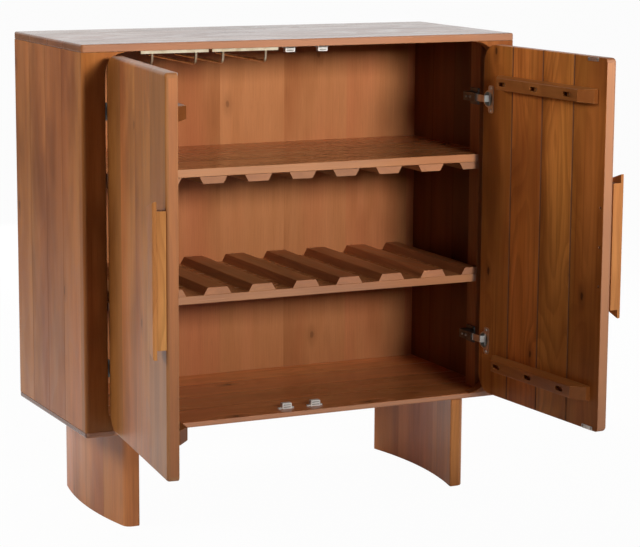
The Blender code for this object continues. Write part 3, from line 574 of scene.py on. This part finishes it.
# Places of the screws of the arms, the catches and the racks
PLATE_THICKNESS = 0.003
PLATE_SCREW_Y = 0.052
PLATE_SCREW_RISE = 0.0125
ARM_SCREWS_Y = (0.044, 0.060)
EAR_THICKNESS = 0.0025
EAR_SCREW_INSET = 0.0045
EAR_SCREW_REACH = 0.0146
POLE_OFFSETS = (0.004, 0.009)
POLE_SIZE = (0.0165, 0.0005, 0.0020, 1)
POLE_PROUD = 0.00005
RACK_BAR_HEIGHT = 0.008
RACK_SCREW_X = 0.010
RACK_SCREW_Y = 0.006
BOTH_WAYS = (-1, 1)


def door_screws(side):
    """Screws that turn with a door: hinge flanges, batten slots, strike plates and handle."""
    body, facing = side + "_door", door_inward(side)

    def on_door(u, rise, z):
        return door_point(side, u, DOOR_THICKNESS + rise, z), facing

    flange, slots, strikes = [], [], []
    for level in LEVELS:
        z = box_middle("%s_%s_hinge_cup" % (side, level)).z
        flange += [on_door(FLANGE_SCREW_U, FLANGE_TOP, z + way * FLANGE_SCREW_RISE) for way in BOTH_WAYS]
        z = box_middle("%s_%s_batten" % (side, level)).z
        slots += [on_door(BATTEN_SLOT_FIRST + BATTEN_SLOT_PITCH * i, BATTEN_SLOT_FLOOR, z)
                  for i in range(3)]
        catch = "%s_%s_catch" % ({"upper": "top", "lower": "bottom"}[level], side)
        u = abs(box_middle(catch).x - DOORS[side][0].x)
        z = box_middle("%s_%s_strike" % (side, level)).z
        strikes += [on_door(u + way * STRIKE_SCREW_REACH, STRIKE_TOP, z) for way in BOTH_WAYS]
    z = box_middle(side + "_door_panel").z
    handle = [on_door(DOOR_WIDTH - HANDLE_SCREW_EDGE, -HANDLE_SCREW_DEPTH, z + HANDLE_SCREW_PITCH * i)
              for i in (-1, 0, 1)]
    screws(side + "_flange_screws", pan, flange, body, steel)
    screws(side + "_batten_screws", pan, slots, body, steel)
    screws(side + "_strike_screws", small, strikes, body, screw_steel)
    screws(side + "_handle_screws", small, handle, body, screw_steel)


def arm_screws(side):
    """Screws of the hinge arms and of the plates that hold them to the posts."""
    facing = Vector((1 if side == "left" else -1, 0, 0))
    plates, webs = [], []
    for level in LEVELS:
        low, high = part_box("%s_%s_hinge_arm" % (side, level))
        near, far = (low.x, high.x) if side == "left" else (high.x, low.x)
        z = (low.z + high.z) / 2
        plate_x = near + facing.x * PLATE_THICKNESS
        plates += [(Vector((plate_x, MIDDLE.y + PLATE_SCREW_Y, z + way * PLATE_SCREW_RISE)), facing)
                   for way in BOTH_WAYS]
        webs += [(Vector((far, MIDDLE.y + y, z)), facing) for y in ARM_SCREWS_Y]
    screws(side + "_plate_screws", pan, plates, "carcass", screw_steel)
    screws(side + "_arm_screws", pan, webs, "carcass", screw_steel)


def catch_details():
    """Ear screws of the catches and the steel poles that show in their fronts."""
    ears = []
    bm = bmesh.new()
    for node in CATCHES:
        low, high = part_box(node)
        middle = (low.x + high.x) / 2
        up = -1 if node.startswith("top") else 1
        seat = high.z if up < 0 else low.z
        tip = low.z if up < 0 else high.z
        y, z = high.y - EAR_SCREW_INSET, seat + up * EAR_THICKNESS
        ears += [(Vector((middle + way * EAR_SCREW_REACH, y, z)), (0, 0, up)) for way in BOTH_WAYS]
        for offset in POLE_OFFSETS:
            matrix = (Matrix.Translation((middle, low.y - POLE_PROUD, tip - up * offset))
                      @ Matrix.Diagonal(POLE_SIZE))
            bmesh.ops.create_cube(bm, size=1.0, matrix=matrix)
    screws("catch_screws", small, ears, "carcass", steel)
    mesh = mesh_from(bm, "catch_poles")
    mesh.materials.append(screw_steel)
    link("catch_poles", mesh, "carcass")


def rack_screws():
    """Screws up through the end bars of the stemware racks."""
    places = []
    for node in RACKS:
        low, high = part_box(node)
        for y in (low.y + RACK_SCREW_Y, high.y - RACK_SCREW_Y):
            places += [(Vector((x, y, high.z - RACK_BAR_HEIGHT)), (0, 0, -1))
                       for x in (low.x + RACK_SCREW_X, high.x - RACK_SCREW_X)]
    screws("rack_screws", small, places, "carcass", brass)


for side in DOORS:
    door_screws(side)
    arm_screws(side)
catch_details()
rack_screws()


def lamp(name, place, aim, size, power, spread=180.0):
    data = bpy.data.lights.new(name, "AREA")
    data.shape = "RECTANGLE"
    data.size, data.size_y = size
    data.energy = power
    data.spread = math.radians(spread)
    obj = bpy.data.objects.new(name, data)
    bpy.context.scene.collection.objects.link(obj)
    obj.location = place
    obj.rotation_euler = (Vector(aim) - Vector(place)).to_track_quat("-Z", "Y").to_euler()
    obj.visible_camera = obj.visible_glossy = False


# Sky and floor. Mirror rays see the left of both dimmed, and a painted shadow in the floor's glow under the
# cabinet
AMBIENT = 0.025
FLOOR_GLOW = 0.97
WING_FROM, WING_TO = -0.7, 0.1
WING_DIM = 0.25
SWEEP_NEAR, SWEEP_FAR = 1.4, 3.0
SWEEP_FROM, SWEEP_TO = -0.3, -0.9
SWEEP_DIM = 0.12
SHADE_NEAR, SHADE_FAR = 0.35, 1.1
SHADE_DIM = 0.25
FLOOR_HALF = 60.0
FLOOR_DROP = 0.0006


def mirror_rays(t, path):
    """1 for the rays that polished or clear surfaces send on."""
    return t.math("MAXIMUM", path["Is Glossy Ray"], path["Is Transmission Ray"])


def make_lights():
    """A broad front light, softer ones on the other three sides, and a low even sky."""
    lamp("key", (0.30, -5.0, 1.95), (0.10, 0, 2.10), (1.2, 0.8), 44, 56)
    lamp("left_fill", (-3.0, 0.6, 2.1), (-0.5, 0.2, 0.6), (1.0, 1.0), 52)
    lamp("right_fill", (3.4, 0.9, 0.70), (0.5, 0.2, 0.6), (1.2, 0.5), 50)
    lamp("back_fill", (0.3, 4.2, 0.70), (0, 0.4, 0.6), (1.2, 0.5), 70)
    world = bpy.data.worlds.new("studio")
    bpy.context.scene.world = world
    world.use_nodes = True
    t = Tree(world.node_tree)
    background = world.node_tree.nodes["Background"]
    background.inputs["Color"].default_value = (1, 1, 1, 1)
    path = t.node("ShaderNodeLightPath").outputs
    across = t.split(t.node("ShaderNodeTexCoord").outputs["Generated"])[0]
    mirrored = t.remap(across, WING_FROM, WING_TO, WING_DIM, 1.0)
    mirrored = t.math("MULTIPLY", mirrored, mirror_rays(t, path))
    shown = t.math("MAXIMUM", mirrored, path["Is Camera Ray"])
    t.put(background.inputs["Strength"], t.math("MAXIMUM", shown, AMBIENT))


def make_floor():
    """White floor: nearly as bright as the sky, with a faint shadow, and clear from below."""
    bm = bmesh.new()
    bmesh.ops.create_grid(bm, x_segments=1, y_segments=1, size=FLOOR_HALF)
    mesh = mesh_from(bm, "floor")
    floor = bpy.data.objects.new("floor", mesh)
    bpy.context.scene.collection.objects.link(floor)
    floor.location.z = -FLOOR_DROP
    material = bpy.data.materials.new("floor_white")
    material.use_nodes = True
    t = Tree(material.node_tree)
    shader = material.node_tree.nodes["Principled BSDF"]
    shader.inputs["Base Color"].default_value = (0.86, 0.86, 0.86, 1)
    shader.inputs["Roughness"].default_value = 0.9
    shader.inputs["Specular IOR Level"].default_value = 0.1
    glow = t.node("ShaderNodeEmission")
    glow.inputs["Strength"].default_value = 1.0
    blend = t.node("ShaderNodeMixShader")
    path = t.node("ShaderNodeLightPath").outputs
    coords = t.node("ShaderNodeTexCoord").outputs["Object"]
    ground = t.node("ShaderNodeVectorMath", operation="LENGTH")
    t.put(ground.inputs[0], coords)
    wing = t.math("MULTIPLY", t.remap(ground.outputs["Value"], SWEEP_NEAR, SWEEP_FAR),
                  t.remap(t.split(coords)[0], SWEEP_FROM, SWEEP_TO))
    # Painted shadow: the glow that mirror rays see is dimmed near the cabinet
    mirrored = t.math("MULTIPLY", t.remap(wing, 0.0, 1.0, FLOOR_GLOW, SWEEP_DIM, smooth=False),
                      t.remap(ground.outputs["Value"], SHADE_NEAR, SHADE_FAR, SHADE_DIM, 1.0))
    mirrored = t.math("MULTIPLY", mirrored, mirror_rays(t, path))
    shown = t.math("MAXIMUM", mirrored, t.math("MULTIPLY", path["Is Camera Ray"], FLOOR_GLOW))
    t.put(blend.inputs[0], shown)
    t.put(blend.inputs[1], shader.outputs[0])
    t.put(blend.inputs[2], glow.outputs[0])
    through = t.node("ShaderNodeMixShader")
    t.put(through.inputs[0], t.node("ShaderNodeNewGeometry").outputs["Backfacing"])
    t.put(through.inputs[1], blend.outputs[0])
    t.put(through.inputs[2], t.node("ShaderNodeBsdfTransparent").outputs[0])
    t.put(material.node_tree.nodes["Material Output"].inputs["Surface"], through.outputs[0])
    mesh.materials.append(material)


# Camera of the photograph, in pixels and degrees
IMAGE_WIDTH = 640.0
FOCAL = 2249.0
CAMERA_PLACE = Vector((-2.029, -4.256, 1.345))
CAMERA_YAW = -25.836
CAMERA_PITCH = -9.952
CAMERA_ROLL = 0.365


def make_camera():
    """Long lens, off to the left and looking a little down."""
    data = bpy.data.cameras.new("camera")
    data.sensor_fit = "HORIZONTAL"
    data.sensor_width = 36.0
    data.lens = data.sensor_width * FOCAL / IMAGE_WIDTH
    data.clip_end = 3 * FLOOR_HALF
    obj = bpy.data.objects.new("camera", data)
    bpy.context.scene.collection.objects.link(obj)
    turn = (Matrix.Rotation(math.radians(CAMERA_YAW), 4, "Z")
            @ Matrix.Rotation(math.radians(90 + CAMERA_PITCH), 4, "X")
            @ Matrix.Rotation(math.radians(CAMERA_ROLL), 4, "Z"))
    obj.matrix_world = Matrix.Translation(MIDDLE + CAMERA_PLACE) @ turn
    bpy.context.scene.camera = obj


make_lights()
make_floor()
make_camera()
bpy.context.scene.view_settings.view_transform = "Standard"
